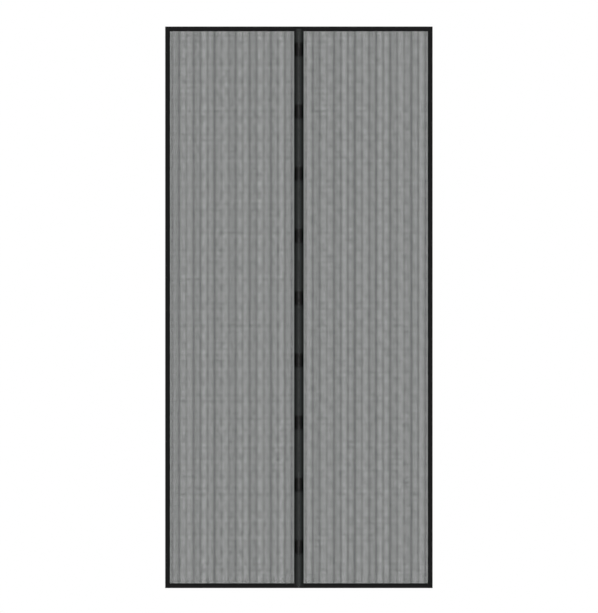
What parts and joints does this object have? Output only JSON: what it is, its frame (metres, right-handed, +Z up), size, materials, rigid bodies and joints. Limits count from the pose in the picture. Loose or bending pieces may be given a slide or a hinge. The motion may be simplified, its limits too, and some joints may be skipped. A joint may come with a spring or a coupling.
{
  "type": "magnetic insect screen",
  "caption": "Hanging doorway insect screen of net panels bound in dark tape, closed along the centre line by bar magnets in sewn pockets, with loop tape on the back.",
  "frame": {"origin": "centre of the back face of the loop tape on the header", "axes": "+Z up, +X across the doorway, +Y towards the door frame that the screen hangs on"},
  "size_m": [1, 0.0083, 2.1],
  "materials": {
    "binding_fabric": "matt black woven polyester tape",
    "ribbon_fabric": "charcoal ribbed polyester ribbon",
    "pocket_fabric": "matt black woven polyester tape, box stitched",
    "net_fabric": "dark polyester net thread; the net looks grey and see-through from a distance",
    "loop_fabric": "black brushed loop pile",
    "ferrite": "dark grey sintered ferrite"
  },
  "bodies": {
    "root": {"centre_tape_left": "binding_fabric", "centre_tape_right": "binding_fabric", "header_loop_tape": "loop_fabric", "header_tape": "binding_fabric", "hem_tape_left": "binding_fabric", "hem_tape_right": "binding_fabric", "magnet_left_1": "ferrite", "magnet_left_2": "ferrite", "magnet_left_3": "ferrite", "magnet_left_4": "ferrite", "magnet_left_5": "ferrite", "magnet_left_6": "ferrite", "magnet_left_7": "ferrite", "magnet_left_8": "ferrite", "magnet_left_9": "ferrite", "magnet_right_1": "ferrite", "magnet_right_2": "ferrite", "magnet_right_3": "ferrite", "magnet_right_4": "ferrite", "magnet_right_5": "ferrite", "magnet_right_6": "ferrite", "magnet_right_7": "ferrite", "magnet_right_8": "ferrite", "magnet_right_9": "ferrite", "net_left": "net_fabric", "net_right": "net_fabric", "pocket_left_1": "pocket_fabric", "pocket_left_2": "pocket_fabric", "pocket_left_3": "pocket_fabric", "pocket_left_4": "pocket_fabric", "pocket_left_5": "pocket_fabric", "pocket_left_6": "pocket_fabric", "pocket_left_7": "pocket_fabric", "pocket_left_8": "pocket_fabric", "pocket_left_9": "pocket_fabric", "pocket_right_1": "pocket_fabric", "pocket_right_2": "pocket_fabric", "pocket_right_3": "pocket_fabric", "pocket_right_4": "pocket_fabric", "pocket_right_5": "pocket_fabric", "pocket_right_6": "pocket_fabric", "pocket_right_7": "pocket_fabric", "pocket_right_8": "pocket_fabric", "pocket_right_9": "pocket_fabric", "ribbon_left": "ribbon_fabric", "ribbon_right": "ribbon_fabric", "side_loop_tape_left": "loop_fabric", "side_loop_tape_right": "loop_fabric", "side_tape_left": "binding_fabric", "side_tape_right": "binding_fabric"}
  },
  "joints": []
}
